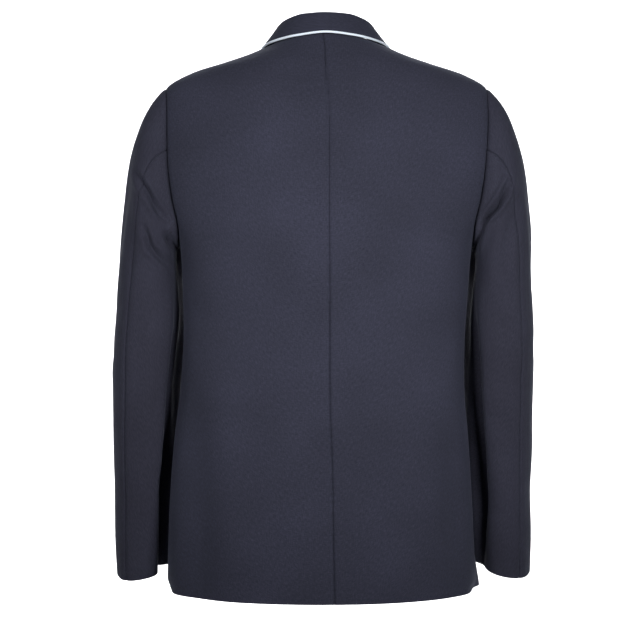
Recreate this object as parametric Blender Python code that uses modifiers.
"""School blazer, filled out as worn, with no wearer.

Metres, +Z up. The wearer faces -Y and the wearer's left is +X. The origin is the centre of the
neckline, level with the points where the shoulder seams meet it.
Every cloth piece is a wall between an outer and an inner grid of points, worked out from two forms:
the torso, a stack of level rings, and the sleeve, a chain of rings fanned round the armpit.
"""
from collections import namedtuple
from math import cos, pi, radians, sin

import bmesh
import bpy
import numpy as np
from mathutils import Vector

# Cloth and seams
CLOTH = 0.0020
SEAM_GAP = 0.0003
HALF_GAP = SEAM_GAP / 2

# Torso: one row for each level ring, measured to the outside of the cloth.
# squareness is the exponent of the ring's superellipse, 2 for an ellipse.
# The tilts raise the ring towards the centre back and drop it in front of the shoulder seams.
# lean is the sideways place of the ring's middle.
Ring = namedtuple("Ring", "height half_width back_depth front_depth squareness back_tilt front_tilt lean")
TORSO = [
    Ring(0.0000, 0.0675, 0.0560, 0.0500, 2.00, 0.20, 0.55, -0.0018),
    Ring(-0.0078, 0.0861, 0.0615, 0.0570, 2.00, 0.20, 0.54, -0.0026),
    Ring(-0.0157, 0.1055, 0.0660, 0.0640, 2.02, 0.19, 0.53, -0.0033),
    Ring(-0.0256, 0.1350, 0.0715, 0.0730, 2.08, 0.18, 0.50, -0.0036),
    Ring(-0.0400, 0.1780, 0.0800, 0.0840, 2.18, 0.16, 0.47, -0.0030),
    Ring(-0.0570, 0.2060, 0.0870, 0.0930, 2.30, 0.14, 0.42, -0.0030),
    Ring(-0.0700, 0.2125, 0.0925, 0.0990, 2.36, 0.12, 0.38, -0.0036),
    Ring(-0.1000, 0.2165, 0.1010, 0.1100, 2.45, 0.09, 0.30, -0.0044),
    Ring(-0.1500, 0.2160, 0.1105, 0.1210, 2.50, 0.05, 0.18, -0.0035),
    Ring(-0.2000, 0.2070, 0.1140, 0.1265, 2.50, 0.02, 0.08, -0.0030),
    Ring(-0.2350, 0.1960, 0.1130, 0.1280, 2.50, 0.00, 0.03, -0.0028),
    Ring(-0.2600, 0.1880, 0.1115, 0.1280, 2.50, 0.00, 0.00, -0.0025),
    Ring(-0.3300, 0.1834, 0.1035, 0.1250, 2.50, 0.00, 0.00, -0.0015),
    Ring(-0.3820, 0.1812, 0.0995, 0.1235, 2.50, 0.00, 0.00, 0.0000),
    Ring(-0.4340, 0.1825, 0.1005, 0.1230, 2.50, 0.00, 0.00, 0.0018),
    Ring(-0.5130, 0.1898, 0.1090, 0.1225, 2.50, -0.01, 0.00, 0.0035),
    Ring(-0.6020, 0.1954, 0.1185, 0.1220, 2.45, -0.02, 0.00, 0.0040),
    Ring(-0.7035, 0.1990, 0.1265, 0.1210, 2.35, -0.030, 0.00, 0.0030),
]
NECK_LEVEL = TORSO[0].height
TIP_LEVEL = -0.0570
PIT_LEVEL = -0.2600
HEM_LEVEL = TORSO[-1].height

# Armhole: how far out its seam lies at each level, from the shoulder tip to the armpit
Reach = namedtuple("Reach", "height out")
ARMHOLE = [
    Reach(TIP_LEVEL, 0.2060),
    Reach(-0.1100, 0.2050),
    Reach(-0.1500, 0.2030),
    Reach(-0.2000, 0.1970),
    Reach(-0.2350, 0.1895),
    Reach(PIT_LEVEL, 0.1880),
]

# Centre-back seam: it drifts to the wearer's right towards the hem
Drift = namedtuple("Drift", "height across")
BACK_SEAM = [
    Drift(NECK_LEVEL, 0.0045),
    Drift(-0.0200, 0.0030),
    Drift(-0.1200, -0.0020),
    Drift(-0.2500, -0.0035),
    Drift(-0.4500, -0.0095),
    Drift(-0.5600, -0.0145),
    Drift(HEM_LEVEL, -0.0160),
]
SIDE_SEAM_BACK_OF_SIDE = radians(6)
SIDE_SEAM_SETTLED = -0.3300

# Front: the roll line runs from the neckline down to the break, then the edge runs to the hem
NECK_ROLL_OUT = 0.0437
BREAK_LEVEL = -0.3500
EDGE_PAST_CENTRE = 0.0180
HEM_CORNER = 0.0550
UNDER_FRONT_DROP = 0.0026
UNDER_FRONT_ACROSS = (-0.0580, -0.0240)
UNDER_FRONT_LEVELS = (-0.2000, -0.2700)
FRONT_COLUMNS_CROWD = 1.15

# Lapel
POINT_OUT = 0.1250
POINT_LEVEL = -0.0553
NOTCH_ALONG_GORGE = 0.62
LAPEL_BELLY = 0.0070
LAPEL_LIFT = 0.0032
ROLL_RADIUS_TOP = 0.0032
ROLL_RADIUS_BREAK = 0.0016
ROLL_SETTLES = 0.0180
ROLL_CLEAR = 0.0015
LAPEL_TURNS = (0, 50, 95, 140, 180)
LAPEL_PARTS = (0.14, 0.30, 0.48, 0.66, 0.83, 1.00)
LAPEL_START = 0.05
LAPEL_TOP = 0.99
CROSSING_RISE = 0.0062
CROSSING_ACROSS = (0.0560, 0.0220)
CROSSING_BELOW = (-0.3620, -0.3260)
CROSSING_ABOVE = (-0.1850, -0.2320)

# Sleeve: one row for each ring, as its outermost and innermost points seen from behind.
# hind_seam and fore_seam are the angles of the two seams round the ring, 0 outside and 90 behind.
Cuff = namedtuple("Cuff", "outer_x outer_z inner_x inner_z centre_y half_depth hind_seam fore_seam")
SLEEVE = [
    Cuff(0.2060, -0.0570, 0.1880, -0.2600, 0.0000, 0.0550, 80, 240),
    Cuff(0.2250, -0.0770, 0.1915, -0.2622, -0.0010, 0.0610, 77, 240),
    Cuff(0.2365, -0.0970, 0.1940, -0.2650, -0.0030, 0.0645, 74, 241),
    Cuff(0.2442, -0.1165, 0.1947, -0.2690, -0.0050, 0.0665, 71, 242),
    Cuff(0.2505, -0.1360, 0.1945, -0.2738, -0.0070, 0.0675, 69, 243),
    Cuff(0.2555, -0.1580, 0.1940, -0.2792, -0.0090, 0.0680, 67, 244),
    Cuff(0.2600, -0.1880, 0.1930, -0.2870, -0.0110, 0.0680, 65, 245),
    Cuff(0.2642, -0.2300, 0.1914, -0.3020, -0.0140, 0.0665, 63, 245),
    Cuff(0.2677, -0.2780, 0.1887, -0.3270, -0.0170, 0.0640, 61, 245),
    Cuff(0.2710, -0.3350, 0.1858, -0.3640, -0.0200, 0.0620, 59, 246),
    Cuff(0.2740, -0.4000, 0.1852, -0.4140, -0.0230, 0.0605, 58, 247),
    Cuff(0.2745, -0.4600, 0.1876, -0.4680, -0.0300, 0.0590, 58, 248),
    Cuff(0.2748, -0.5200, 0.1898, -0.5240, -0.0400, 0.0575, 58, 248),
    Cuff(0.2745, -0.5800, 0.1920, -0.5790, -0.0490, 0.0560, 58, 248),
    Cuff(0.2741, -0.6400, 0.1952, -0.6340, -0.0570, 0.0545, 58, 248),
    Cuff(0.2735, -0.6860, 0.1990, -0.6720, -0.0640, 0.0535, 58, 248),
]
SLEEVE_SQUARENESS = 2.15
CAP_BLEND_END = 6.0
FOREARM_SWING = 1.5
FOREARM_SWING_STATIONS = (7.5, 11.0)
FOREARM_LESS_LEAN = 0.55
FOREARM_LEAN_STATIONS = (8.0, 13.0)
LEFT_SLEEVE_LONGER = 0.0030
LEFT_LONGER_FROM = 9.0
HALF_ROWS_TO = 9
FOLDS_FULL_BY = (0.3, 2.0)

# Collar: one row for each section, from the centre back round to the wearer's left.
# turn is where the stand meets the neckline, fold is its highest line, and the border of the leaf
# lies edge_lift off the torso at edge_turn and edge_level.
Section = namedtuple("Section", "turn fold_x fold_y fold_z edge_turn edge_level edge_lift")
COLLAR = [
    Section(90, 0.0000, 0.0510, 0.0350, 90, -0.0078, 0.0058),
    Section(62, 0.0270, 0.0440, 0.0340, 66, -0.0092, 0.0052),
    Section(40, 0.0428, 0.0330, 0.0306, 48, -0.0060, 0.0046),
    Section(18, 0.0528, 0.0170, 0.0266, 26, -0.0034, 0.0044),
    Section(0, 0.0562, -0.0010, 0.0235, 4, -0.0036, 0.0044),
    Section(-20, 0.0545, -0.0190, 0.0125, -16, -0.0096, 0.0044),
    Section(-38, 0.0510, -0.0300, 0.0000, -32, -0.0215, 0.0040),
    Section(-46, 0.0475, -0.0365, -0.0110, -36.5, -0.0300, 0.0036),
]
COLLAR_ROLL = 0.0030
COLLAR_LIFT_AT_GORGE = 0.0036
STAND_CLEAR = 0.0017
LEAF_BOW = 0.0006
STAND_PARTS = (0.0, 0.35, 0.70)
LEAF_PARTS = (0.20, 0.42, 0.65, 0.84, 1.00)
ROLL_TURNS = (5, 60, 115, 170)
GORGE_TURNS = (40, 58, 76, 94, 112, 140, 180)
PIPING_RADIUS = 0.0017
PIPING_LAST_RUN = 0.0040
PIPING_ROUND_CORNER = 1.5

# Buttons
BUTTON_RADIUS = 0.0100
BUTTON_THICKNESS = 0.0038
BUTTON_SIDES = 24
BUTTON_PROFILE = [
    (0.0000, 0.0026),
    (0.0062, 0.0026),
    (0.0074, 0.0036),
    (0.0090, BUTTON_THICKNESS),
    (BUTTON_RADIUS, 0.0028),
    (BUTTON_RADIUS, 0.0012),
    (0.0088, 0.0000),
    (0.0000, 0.0000),
]
BUTTON_LEVELS = {"button_upper": -0.3800, "button_lower": -0.4800}

# Folds, as troughs along paths seen from behind (facing 1) or in front (facing -1)
FOLD_END_DEPTH = 0.25
FOLD_RIDGE = 0.35
FOLD_FACING = (0.05, 0.45)
Fold = namedtuple("Fold", "facing depth width path")
LEFT_SLEEVE_FOLDS = [
    Fold(1, 0.0050, 0.0085, [(0.243, -0.165), (0.226, -0.194), (0.212, -0.220), (0.197, -0.234)]),
    Fold(1, 0.0060, 0.0080, [(0.230, -0.240), (0.222, -0.272), (0.205, -0.292), (0.192, -0.302)]),
    Fold(-1, 0.0045, 0.0100, [(0.245, -0.180), (0.225, -0.215), (0.200, -0.240)]),
]
RIGHT_SLEEVE_FOLDS = [
    Fold(1, 0.0075, 0.0090, [(-0.203, -0.236), (-0.218, -0.214), (-0.230, -0.192), (-0.242, -0.176)]),
    Fold(1, 0.0040, 0.0095, [(-0.224, -0.292), (-0.236, -0.240), (-0.246, -0.200)]),
    Fold(-1, 0.0045, 0.0100, [(-0.248, -0.170), (-0.226, -0.205), (-0.202, -0.235)]),
]
BACK_FOLDS = [
    Fold(1, 0.0035, 0.0140, [(0.166, -0.500), (0.158, -0.590), (0.152, -0.702)]),
    Fold(1, 0.0035, 0.0160, [(-0.160, -0.480), (-0.166, -0.590), (-0.170, -0.702)]),
]

# Grid of each piece: turns of half the armhole, rows and columns of cells
ARM_TURNS = 9
SIDE_ROWS = 12
CORNER_ROWS = 4
PANEL_COLUMNS = 10
LAPEL_ROWS = 18
COLLAR_ROWS = 15
GORGE_ROWS = 3

# Colours, sRGB as seen
NAVY = (0.190, 0.195, 0.255)
NAVY_SLEEVE = (0.180, 0.182, 0.238)
ICE_BLUE = (0.820, 0.880, 0.950)
BUTTON_NAVY = (0.060, 0.065, 0.100)


def curve_through(heights, values):
    """Return a smooth function through a table column, with no overshoot between its rows."""
    order = np.argsort(heights)
    knots = np.asarray(heights, float)[order]
    column = np.asarray(values, float)[order]
    steps = np.diff(knots)
    rises = np.diff(column) / steps
    slopes = np.zeros_like(column)
    slopes[0] = rises[0]
    slopes[-1] = rises[-1]
    for i in range(1, len(knots) - 1):
        if rises[i - 1] * rises[i] > 0:
            before = 2 * steps[i] + steps[i - 1]
            after = steps[i] + 2 * steps[i - 1]
            slopes[i] = (before + after) / (before / rises[i - 1] + after / rises[i])

    def value(at):
        at = np.clip(np.asarray(at, float), knots[0], knots[-1])
        i = np.clip(np.searchsorted(knots, at) - 1, 0, len(steps) - 1)
        t = (at - knots[i]) / steps[i]
        start = (1 + 2 * t) * (1 - t) ** 2 * column[i] + t * (1 - t) ** 2 * steps[i] * slopes[i]
        end = t * t * (3 - 2 * t) * column[i + 1] + t * t * (t - 1) * steps[i] * slopes[i + 1]
        return start + end

    return value


def columns(table, key_name):
    """Return one smooth function for each column of a table, over its key column."""
    keys = [getattr(row, key_name) for row in table]
    names = [name for name in table[0]._fields if name != key_name]
    return {name: curve_through(keys, [getattr(row, name) for row in table]) for name in names}


def unit(vectors):
    """Scale vectors to length one."""
    return vectors / np.linalg.norm(vectors, axis=-1, keepdims=True)


def ease(start, end, at):
    """Rise smoothly from 0 at start to 1 at end."""
    t = np.clip((np.asarray(at, float) - start) / (end - start), 0, 1)
    return t * t * (3 - 2 * t)


def signed_power(value, power):
    """Raise the size of a value to a power and keep its sign."""
    return np.sign(value) * np.abs(value) ** power


RINGS = columns(TORSO, "height")
ARMHOLE_OUT = curve_through([row.height for row in ARMHOLE], [row.out for row in ARMHOLE])
BACK_SEAM_X = curve_through([row.height for row in BACK_SEAM], [row.across for row in BACK_SEAM])


def torso_point(angle, height):
    """Point of the torso's outside: angle 0 at the wearer's left side, 90 degrees behind."""
    angle, height = np.broadcast_arrays(np.asarray(angle, float), np.asarray(height, float))
    behind = np.sin(angle) > 0
    power = 2 / RINGS["squareness"](height)
    depth = np.where(behind, RINGS["back_depth"](height), RINGS["front_depth"](height))
    tilt = np.where(behind, RINGS["back_tilt"](height), RINGS["front_tilt"](height))
    x = RINGS["lean"](height) + RINGS["half_width"](height) * signed_power(np.cos(angle), power)
    y = depth * signed_power(np.sin(angle), power)
    rise = tilt * y * np.where(behind, np.sin(angle) ** 2, 1.0)
    return np.stack([x, y, height + rise], axis=-1)


def torso_normal(angle, height):
    """Outward normal of the torso, from small steps round the ring and up the form."""
    step = 0.002
    rise = 0.0008
    angle, height = np.broadcast_arrays(np.asarray(angle, float), np.asarray(height, float))
    round_ring = torso_point(angle + step, height) - torso_point(angle - step, height)
    above = torso_point(angle, np.minimum(height + rise, NECK_LEVEL))
    below = torso_point(angle, np.maximum(height - rise, HEM_LEVEL))
    return unit(np.cross(round_ring, above - below))


def angle_at(across, height):
    """Angle behind the side at which a ring lies this far from its own middle."""
    ratio = np.clip(across / RINGS["half_width"](height), -1, 1)
    return np.arccos(signed_power(ratio, RINGS["squareness"](height) / 2))


def armhole_level(turn):
    """Level of the armhole seam: turn 0 at the shoulder tip, 180 degrees at the armpit."""
    return TIP_LEVEL + (PIT_LEVEL - TIP_LEVEL) * (1 - np.cos(turn)) / 2


def armhole_angle(turn):
    """Torso angle of the armhole seam, positive behind and negative in front."""
    level = armhole_level(turn)
    return np.sign(np.sin(turn)) * angle_at(ARMHOLE_OUT(level), level)


STATIONS = np.arange(len(SLEEVE), dtype=float)
ARM = {name: curve_through(STATIONS, [getattr(row, name) for row in SLEEVE]) for name in Cuff._fields}


def sleeve_ring(turn, station):
    """Point of the left sleeve's plain ring, before its head is drawn to the armhole."""
    outer = np.stack([ARM["outer_x"](station), ARM["outer_z"](station)], axis=-1)
    inner = np.stack([ARM["inner_x"](station), ARM["inner_z"](station)], axis=-1)
    middle = (outer + inner) / 2
    half_width = (outer - inner) / 2
    step = 0.05
    drop = ARM["outer_z"](station + step) - ARM["outer_z"](station - step)
    forward = ARM["centre_y"](station + step) - ARM["centre_y"](station - step)
    swing = FOREARM_SWING * np.arctan2(-forward, -drop) * ease(*FOREARM_SWING_STATIONS, station)
    across = signed_power(np.cos(turn), 2 / SLEEVE_SQUARENESS)
    deep = ARM["half_depth"](station) * signed_power(np.sin(turn), 2 / SLEEVE_SQUARENESS)
    x = middle[..., 0] + half_width[..., 0] * across
    y = ARM["centre_y"](station) + deep * np.cos(swing)
    z = middle[..., 1] + half_width[..., 1] * across - deep * np.sin(swing)
    return np.stack([x, y, z], axis=-1)


def sleeve_point(side, turn, station):
    """Point of a sleeve's outside: side 1 is the wearer's left, -1 the right."""
    turn, station = np.broadcast_arrays(np.asarray(turn, float), np.asarray(station, float))
    level = armhole_level(turn)
    seam = torso_point(armhole_angle(turn), level)
    seam = seam - np.stack([RINGS["lean"](level), 0 * level, 0 * level], axis=-1)
    pull = (1 - ease(0, CAP_BLEND_END, station))[..., None]
    point = sleeve_ring(turn, station) + (seam - sleeve_ring(turn, np.zeros_like(turn))) * pull
    pull = pull[..., 0]
    less = FOREARM_LESS_LEAN * ease(*FOREARM_LEAN_STATIONS, station)
    low_lean = RINGS["lean"](point[..., 2]) * (1 - less)
    lean = RINGS["lean"](level) * pull + low_lean * (1 - pull)
    longer = LEFT_SLEEVE_LONGER * ease(LEFT_LONGER_FROM, STATIONS[-1], station) if side > 0 else 0.0
    return np.stack([side * point[..., 0] + lean, point[..., 1], point[..., 2] - longer], axis=-1)


def sleeve_normal(side, turn, station):
    """Outward normal of a sleeve."""
    small = 0.01
    turn, station = np.broadcast_arrays(np.asarray(turn, float), np.asarray(station, float))
    last = STATIONS[-1]
    around = sleeve_point(side, turn + small, station) - sleeve_point(side, turn - small, station)
    down = sleeve_point(side, turn, np.minimum(station + small, last))
    down = down - sleeve_point(side, turn, np.maximum(station - small, 0))
    return unit(side * np.cross(down, around))


def path_distance(points, path):
    """Distance of points from a path, seen along Y, and how far along the path each is nearest."""
    flat = points[..., [0, 2]]
    knots = np.asarray(path, float)
    lengths = np.linalg.norm(np.diff(knots, axis=0), axis=1)
    nearest = np.full(flat.shape[:-1], 1.0e9)
    along = np.zeros(flat.shape[:-1])
    for i, length in enumerate(lengths):
        run = (knots[i + 1] - knots[i]) / length
        part = np.clip((flat - knots[i]) @ run, 0, length)
        gap = np.linalg.norm(flat - knots[i] - part[..., None] * run, axis=-1)
        closer = gap < nearest
        nearest = np.where(closer, gap, nearest)
        along = np.where(closer, (lengths[:i].sum() + part) / lengths.sum(), along)
    return nearest, along


def fold_relief(points, normals, folds):
    """How far each point moves along its normal: a trough on the path, a low ridge each side."""
    relief = np.zeros(points.shape[:-1])
    for fold in folds:
        distance, along = path_distance(points, fold.path)
        seen = ease(*FOLD_FACING, normals[..., 1] * fold.facing)
        fade = FOLD_END_DEPTH + (1 - FOLD_END_DEPTH) * np.sin(pi * np.clip(along, 0, 1))
        trough = np.exp(-(distance / fold.width) ** 2)
        ridge = np.exp(-((distance - 2 * fold.width) / fold.width) ** 2)
        relief += fold.depth * seen * fade * (FOLD_RIDGE * ridge - trough)
    return relief


def front_layer(side, across, level):
    """How far a front lies off the torso form: the right front passes under the left.

    The left front also rises where the right lapel runs under it, above the break.
    """
    if side < 0:
        covered = ease(*UNDER_FRONT_LEVELS, level)
        return -UNDER_FRONT_DROP * ease(*UNDER_FRONT_ACROSS, across) * covered
    near_edge = ease(*CROSSING_ACROSS, across)
    crossing = ease(*CROSSING_BELOW, level) * ease(*CROSSING_ABOVE, level)
    return CROSSING_RISE * near_edge * crossing


def torso_surface(angle, level, side=0):
    """Outside of a torso piece with its folds, and its normals. side picks a front's own layer."""
    points = torso_point(angle, level)
    normals = torso_normal(angle, level)
    lift = fold_relief(points, normals, BACK_FOLDS)
    if side:
        lift = lift + front_layer(side, points[..., 0], level)
    return points + normals * lift[..., None], normals


def front_surface(side, across, level):
    """Outside of a front at a distance across from the middle, positive towards its own side."""
    angle = -angle_at(side * np.asarray(across, float), level)
    return torso_surface(angle, level, side)


def roll_out(level):
    """How far out the roll line lies, from the neckline to the break, then the front edge."""
    part = np.clip((NECK_LEVEL - np.asarray(level, float)) / (NECK_LEVEL - BREAK_LEVEL), 0, 1)
    return NECK_ROLL_OUT - part * (NECK_ROLL_OUT + EDGE_PAST_CENTRE)


def front_edge_out(level):
    """How far out the front's inner border lies, with the hem's rounded corner."""
    into_corner = np.clip(HEM_LEVEL + HEM_CORNER - np.asarray(level, float), 0, HEM_CORNER)
    round_off = HEM_CORNER - np.sqrt(HEM_CORNER ** 2 - into_corner ** 2)
    return roll_out(level) + round_off


def armhole_joint(side, turn):
    """Shared mitre of the armhole seam: its points, the mitred wall direction and the way across."""
    level = armhole_level(turn)
    angle = armhole_angle(turn)
    if side < 0:
        angle = pi - angle
    points = torso_point(angle, level)
    body = torso_normal(angle, level)
    arm = sleeve_normal(side, turn, np.zeros_like(turn))
    bisector = unit(body + arm)
    wall = bisector / np.sum(bisector * body, axis=-1, keepdims=True)
    small = 0.01
    along = sleeve_point(side, turn + small, 0.0) - sleeve_point(side, turn - small, 0.0)
    across = unit(np.cross(along, bisector))
    outward = sleeve_point(side, turn, 0.4) - points
    across = across * np.sign(np.sum(across * outward, axis=-1, keepdims=True))
    return points, wall, across


def inset(outer, inner, border):
    """Draw one border of a wall half a seam gap back towards its neighbours."""
    picks = {"first_column": (np.s_[:, 0], np.s_[:, 1]), "last_column": (np.s_[:, -1], np.s_[:, -2]),
             "first_row": (np.s_[0], np.s_[1]), "last_row": (np.s_[-1], np.s_[-2])}
    edge, neighbour = picks[border]
    along = unit(np.gradient(outer[edge], axis=0))
    back = outer[neighbour] - outer[edge]
    back = unit(back - along * np.sum(back * along, axis=-1, keepdims=True)) * HALF_GAP
    outer[edge] = outer[edge] + back
    inner[edge] = inner[edge] + back


def close_wall(name, outer, inner, material):
    """Make one closed solid from a wall's outer and inner grids of points."""
    rows, across = outer.shape[:2]
    index = np.arange(rows * across).reshape(rows, across)
    under = index + rows * across
    quads = []
    for grid, flip in ((index, False), (under, True)):
        cells = np.stack([grid[:-1, :-1], grid[1:, :-1], grid[1:, 1:], grid[:-1, 1:]], axis=-1).reshape(-1, 4)
        quads.append(cells[:, ::-1] if flip else cells)
    rims = []
    for border, low in ((index[0], under[0]), (index[-1], under[-1]),
                        (index[:, 0], under[:, 0]), (index[:, -1], under[:, -1])):
        rims.append(np.stack([border[:-1], border[1:], low[1:]], axis=-1))
        rims.append(np.stack([border[:-1], low[1:], low[:-1]], axis=-1))
    points = np.concatenate([outer.reshape(-1, 3), inner.reshape(-1, 3)])
    faces = np.concatenate(quads).tolist() + np.concatenate(rims).tolist()
    mesh = bpy.data.meshes.new(name)
    mesh.from_pydata(points.tolist(), [], faces)
    shape = bmesh.new()
    shape.from_mesh(mesh)
    bmesh.ops.recalc_face_normals(shape, faces=shape.faces)
    shape.to_mesh(mesh)
    shape.free()
    mesh.shade_smooth()
    mesh.set_sharp_from_angle(angle=radians(40))
    return place(name, mesh, material)


def place(name, mesh, material):
    """Add a mesh to the blazer's collection with its material."""
    mesh.materials.append(material)
    piece = bpy.data.objects.new(name, mesh)
    bpy.data.collections["school_blazer"].objects.link(piece)
    return piece


def panel_levels():
    """Levels of a torso panel's rows: shoulder, armhole in equal turns, side, rounded hem."""
    shoulder = [row.height for row in TORSO if row.height >= TIP_LEVEL]
    armhole = armhole_level(np.radians(np.arange(1, ARM_TURNS + 1) * 180 / ARM_TURNS))
    corner_start = HEM_LEVEL + HEM_CORNER
    side = np.linspace(PIT_LEVEL, corner_start, SIDE_ROWS + 1)[1:]
    corner = corner_start - HEM_CORNER * np.sin(np.linspace(0, pi / 2, CORNER_ROWS + 1))[1:]
    return np.concatenate([shoulder, armhole, side, corner]), len(shoulder) - 1


def side_border(levels, tip_row):
    """Angle of a panel's outer border: the shoulder seam, then the armhole, then the side seam."""
    border = SIDE_SEAM_BACK_OF_SIDE * ease(PIT_LEVEL, SIDE_SEAM_SETTLED, levels)
    border[:tip_row] = 0.0
    return border


def panel(name, side, behind, material):
    """Make a back or a front half from the middle to its shoulder, armhole and side seams."""
    levels, tip_row = panel_levels()
    turns = np.radians(np.arange(ARM_TURNS + 1) * 180 / ARM_TURNS)
    arm_rows = np.arange(tip_row, tip_row + ARM_TURNS + 1)
    border = side_border(levels, tip_row)
    border[arm_rows] = np.abs(armhole_angle(turns)) * (1 if behind else -1)
    if behind:
        middle = angle_at(side * BACK_SEAM_X(levels), levels)
    else:
        middle = -angle_at(front_edge_out(levels), levels)
    part = np.linspace(0, 1, PANEL_COLUMNS + 1)
    if not behind:
        part = part ** FRONT_COLUMNS_CROWD
    angle = middle[:, None] + (border - middle)[:, None] * part
    if side < 0:
        angle = pi - angle
    level_grid = np.broadcast_to(levels[:, None], angle.shape)
    outer, normals = torso_surface(angle, level_grid, 0 if behind else side)
    inner = outer - CLOTH * normals

    inset(outer, inner, "first_column")
    inset(outer, inner, "last_column")
    arm_turns = turns if behind else 2 * pi - turns
    points, wall, across = armhole_joint(side, arm_turns)
    away_from_seam = np.zeros_like(points)
    away_from_seam[[0, -1], 1] = HALF_GAP if behind else -HALF_GAP
    outer[arm_rows, -1] = points - HALF_GAP * across + away_from_seam
    inner[arm_rows, -1] = outer[arm_rows, -1] - CLOTH * wall
    return close_wall(name, outer, inner, material)


def sleeve_half(name, side, top, folds, material):
    """Make the top or the under half of a sleeve, from the armhole to the cuff."""
    stations = np.concatenate([np.arange(0, HALF_ROWS_TO, 0.5), np.arange(HALF_ROWS_TO, len(SLEEVE))])
    step_turn = pi / ARM_TURNS
    hind = np.radians(ARM["hind_seam"](stations))
    fore = np.radians(ARM["fore_seam"](stations))
    start, end = (fore - 2 * pi, hind) if top else (hind, fore)
    count = int(round((end[0] - start[0]) / step_turn))
    part = np.linspace(0, 1, count + 1)
    turn = start[:, None] + (end - start)[:, None] * part
    station = np.broadcast_to(stations[:, None], turn.shape)
    outer = sleeve_point(side, turn, station)
    normals = sleeve_normal(side, turn, station)
    relief = fold_relief(outer, normals, folds) * ease(*FOLDS_FULL_BY, station)
    outer = outer + normals * relief[..., None]
    inner = outer - CLOTH * normals

    points, wall, across = armhole_joint(side, turn[0])
    outer[0] = points + HALF_GAP * across
    inner[0] = outer[0] - CLOTH * wall
    inset(outer, inner, "first_column")
    inset(outer, inner, "last_column")
    return close_wall(name, outer, inner, material)


def lapel_width_ends(up):
    """Across and level of the roll line and of the lapel's outer edge, up 0 at the break."""
    roll_level = BREAK_LEVEL + (NECK_LEVEL - BREAK_LEVEL) * up
    rise = POINT_LEVEL - BREAK_LEVEL
    reach = POINT_OUT + EDGE_PAST_CENTRE
    length = np.hypot(rise, reach)
    belly = LAPEL_BELLY * np.sin(pi * up)
    edge_across = -EDGE_PAST_CENTRE + reach * up + belly * rise / length
    edge_level = BREAK_LEVEL + rise * up - belly * reach / length
    return roll_out(roll_level), roll_level, edge_across, edge_level


def turned_section(side, up, turns, parts, part_scale, end_lift):
    """Middle of the cloth that rolls over the roll line and lies on the front.

    It leaves the front's edge, turns through the roll's half circle, then settles on the front.
    """
    roll_across, roll_level, edge_across, edge_level = lapel_width_ends(up)
    roll_foot = front_surface(side, roll_across, roll_level)[0]
    edge_foot = front_surface(side, edge_across, edge_level)[0]
    width = np.linalg.norm(edge_foot - roll_foot, axis=-1)
    radius = ROLL_RADIUS_BREAK + (ROLL_RADIUS_TOP - ROLL_RADIUS_BREAK) * ease(0, 0.5, up)
    reach = []
    lift = []
    for turn in turns:
        reach.append(-(ROLL_CLEAR + radius * sin(turn)) / width)
        lift.append(-CLOTH / 2 + radius * (1 - cos(turn)))
    for part in parts:
        reach.append(part * part_scale + 0 * up)
        settle = ease(0, 1, part * part_scale * width / ROLL_SETTLES)
        lift.append((-CLOTH / 2 + 2 * radius) * (1 - settle) + end_lift * settle)
    reach = np.stack(reach, axis=-1)
    lift = np.stack(lift, axis=-1)
    across = roll_across[..., None] + (edge_across - roll_across)[..., None] * reach
    level = roll_level[..., None] + (edge_level - roll_level)[..., None] * reach
    points, normals = front_surface(side, across, np.minimum(level, NECK_LEVEL))
    return points + normals * lift[..., None]


def wall_round(middle):
    """Outer and inner grids of a wall whose middle is a grid of points."""
    down = np.gradient(middle, axis=0)
    across = np.gradient(middle, axis=1)
    normals = unit(np.cross(down, across))
    return middle + normals * CLOTH / 2, middle - normals * CLOTH / 2


def lapel(name, side, material):
    """Make one turned lapel, from just above the break to the gorge."""
    up = np.linspace(LAPEL_START, LAPEL_TOP, LAPEL_ROWS + 1)
    middle = turned_section(side, up, np.radians(LAPEL_TURNS), LAPEL_PARTS, 1.0, LAPEL_LIFT)
    outer, inner = wall_round(middle)
    inset(outer, inner, "last_row")
    return close_wall(name, outer, inner, material)


def collar_sections(side):
    """Middles of the collar's sections, from the centre back to the gorge, stand to leaf edge."""
    sections = []
    lean = np.array([RINGS["lean"](NECK_LEVEL), 0, 0])
    for row in COLLAR:
        turn = radians(row.turn) if side > 0 else pi - radians(row.turn)
        edge_turn = radians(row.edge_turn) if side > 0 else pi - radians(row.edge_turn)
        seam = torso_point(turn, NECK_LEVEL)
        edge, edge_normal = torso_surface(edge_turn, row.edge_level)
        edge = edge + edge_normal * row.edge_lift
        fold = np.array([side * row.fold_x, row.fold_y, row.fold_z]) + lean
        up = unit(fold - (seam + edge) / 2)
        out = torso_normal(turn, NECK_LEVEL)
        out = unit(out - up * np.dot(out, up))
        centre = fold - up * (CLOTH / 2 + COLLAR_ROLL)
        stand_top = centre - out * COLLAR_ROLL
        leaf_top = centre + out * COLLAR_ROLL
        foot = seam + unit(stand_top - seam) * STAND_CLEAR
        stand = [foot + (stand_top - foot) * part for part in STAND_PARTS]
        roll = [centre - out * COLLAR_ROLL * cos(a) + up * COLLAR_ROLL * sin(a)
                for a in np.radians(ROLL_TURNS)]
        leaf = [leaf_top + (edge - leaf_top) * part + out * LEAF_BOW * sin(pi * part)
                for part in LEAF_PARTS]
        sections.append(np.array(stand + roll + leaf))
    gorge = turned_section(side, np.array(1.0), np.radians(GORGE_TURNS), LEAF_PARTS,
                           NOTCH_ALONG_GORGE, COLLAR_LIFT_AT_GORGE)
    return np.array(sections), gorge


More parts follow.
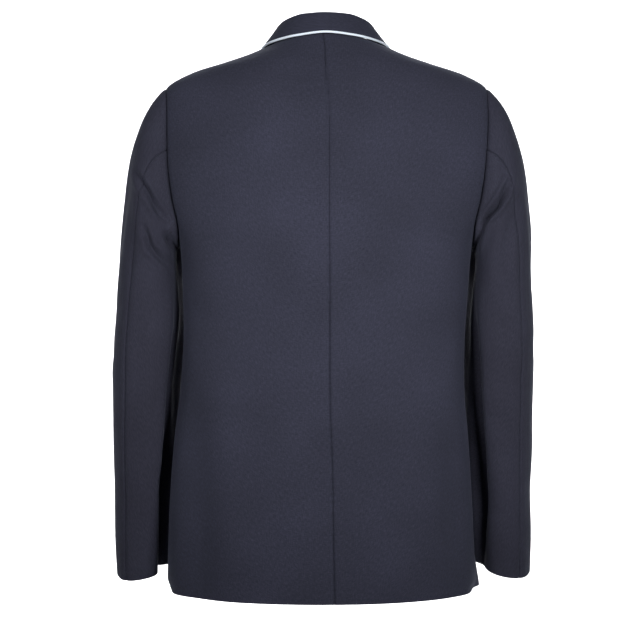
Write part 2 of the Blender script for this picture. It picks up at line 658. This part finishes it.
def collar_middle():
    """Grid of the collar's middle from the right gorge round the back to the left gorge."""
    halves = []
    for side in (1, -1):
        sections, gorge = collar_sections(side)
        knots = np.arange(len(sections), dtype=float)
        fine = np.linspace(0, knots[-1], COLLAR_ROWS + 1)
        flat = sections.reshape(len(sections), -1)
        smooth = np.stack([curve_through(knots, flat[:, i])(fine) for i in range(flat.shape[1])], axis=-1)
        smooth = smooth.reshape(len(fine), *sections.shape[1:])
        last = [smooth[-1] + (gorge - smooth[-1]) * part for part in np.linspace(0, 1, GORGE_ROWS + 1)[1:]]
        halves.append(np.concatenate([smooth, last]))
    return np.concatenate([halves[1][:0:-1], halves[0]])


def collar(name, middle, material):
    """Make the collar: stand, fold and leaf in one piece."""
    outer, inner = wall_round(middle)
    inset(outer, inner, "first_row")
    inset(outer, inner, "last_row")
    return close_wall(name, outer, inner, material)


def piping(name, middle, material):
    """Make the piping as a round cord just outside the collar's edge, short of each notch."""
    edge = middle[:, -1]
    along = unit(np.gradient(edge, axis=0))
    outward = edge - middle[:, -2]
    outward = unit(outward - along * np.sum(outward * along, axis=-1, keepdims=True))
    clear = np.full(len(edge), SEAM_GAP + PIPING_RADIUS)
    clear[[GORGE_ROWS, -1 - GORGE_ROWS]] *= PIPING_ROUND_CORNER
    path = edge + outward * clear[:, None]
    path[0] = path[1] + unit(path[0] - path[1]) * PIPING_LAST_RUN
    path[-1] = path[-2] + unit(path[-1] - path[-2]) * PIPING_LAST_RUN
    curve = bpy.data.curves.new(name, "CURVE")
    curve.dimensions = "3D"
    curve.bevel_depth = PIPING_RADIUS
    curve.bevel_resolution = 2
    curve.use_fill_caps = True
    spline = curve.splines.new("POLY")
    spline.points.add(len(path) - 1)
    for point, place_at in zip(spline.points, path):
        point.co = (*place_at, 1.0)
    curve.materials.append(material)
    piece = bpy.data.objects.new(name, curve)
    bpy.data.collections["school_blazer"].objects.link(piece)
    return piece


def button(name, level, material):
    """Make a turned button with a raised rim, seated a seam gap off the left front."""
    point, normal = front_surface(1, np.array(0.0), np.array(level))
    mesh = bpy.data.meshes.new(name)
    edges = [(i, i + 1) for i in range(len(BUTTON_PROFILE) - 1)]
    mesh.from_pydata([(radius, 0, height) for radius, height in BUTTON_PROFILE], edges, [])
    piece = place(name, mesh, material)
    turn = piece.modifiers.new("turned", "SCREW")
    turn.steps = BUTTON_SIDES
    turn.render_steps = BUTTON_SIDES
    turn.use_merge_vertices = True
    turn.merge_threshold = 0.00001
    turn.use_normal_calculate = True
    away = Vector(normal)
    piece.rotation_mode = "QUATERNION"
    piece.rotation_quaternion = away.to_track_quat("Z", "Y")
    piece.location = Vector(point) + away * SEAM_GAP
    return piece


def cloth_material(name, colour, roughness):
    """Plain material: sRGB colour turned to linear, roughness, no metal."""
    linear = [c / 12.92 if c <= 0.04045 else ((c + 0.055) / 1.055) ** 2.4 for c in colour]
    material = bpy.data.materials.new(name)
    material.use_nodes = True
    shader = material.node_tree.nodes["Principled BSDF"]
    shader.inputs["Base Color"].default_value = (*linear, 1)
    shader.inputs["Roughness"].default_value = roughness
    shader.inputs["Metallic"].default_value = 0.0
    return material


def clear_scene():
    """Remove the scene's objects and start the blazer's collection."""
    for thing in list(bpy.data.objects):
        bpy.data.objects.remove(thing, do_unlink=True)
    collection = bpy.data.collections.new("school_blazer")
    bpy.context.scene.collection.children.link(collection)


def main():
    """Make every piece of the blazer."""
    clear_scene()
    for word, side, folds in (("left", 1, LEFT_SLEEVE_FOLDS), ("right", -1, RIGHT_SLEEVE_FOLDS)):
        panel(f"back_{word}", side, True, cloth_material(f"navy_cloth_back_{word}", NAVY, 0.85))
        panel(f"front_{word}", side, False, cloth_material(f"navy_cloth_front_{word}", NAVY, 0.85))
        lapel(f"lapel_{word}", side, cloth_material(f"navy_cloth_lapel_{word}", NAVY, 0.85))
        for part, top in (("top", True), ("under", False)):
            name = f"sleeve_{part}_{word}"
            sleeve_half(name, side, top, folds, cloth_material(f"navy_cloth_{name}", NAVY_SLEEVE, 0.85))
    middle = collar_middle()
    collar("collar", middle, cloth_material("navy_cloth_collar", NAVY, 0.85))
    piping("collar_piping", middle, cloth_material("ice_blue_piping", ICE_BLUE, 0.6))
    for name, level in BUTTON_LEVELS.items():
        button(name, level, cloth_material(f"{name}_plastic", BUTTON_NAVY, 0.3))


main()
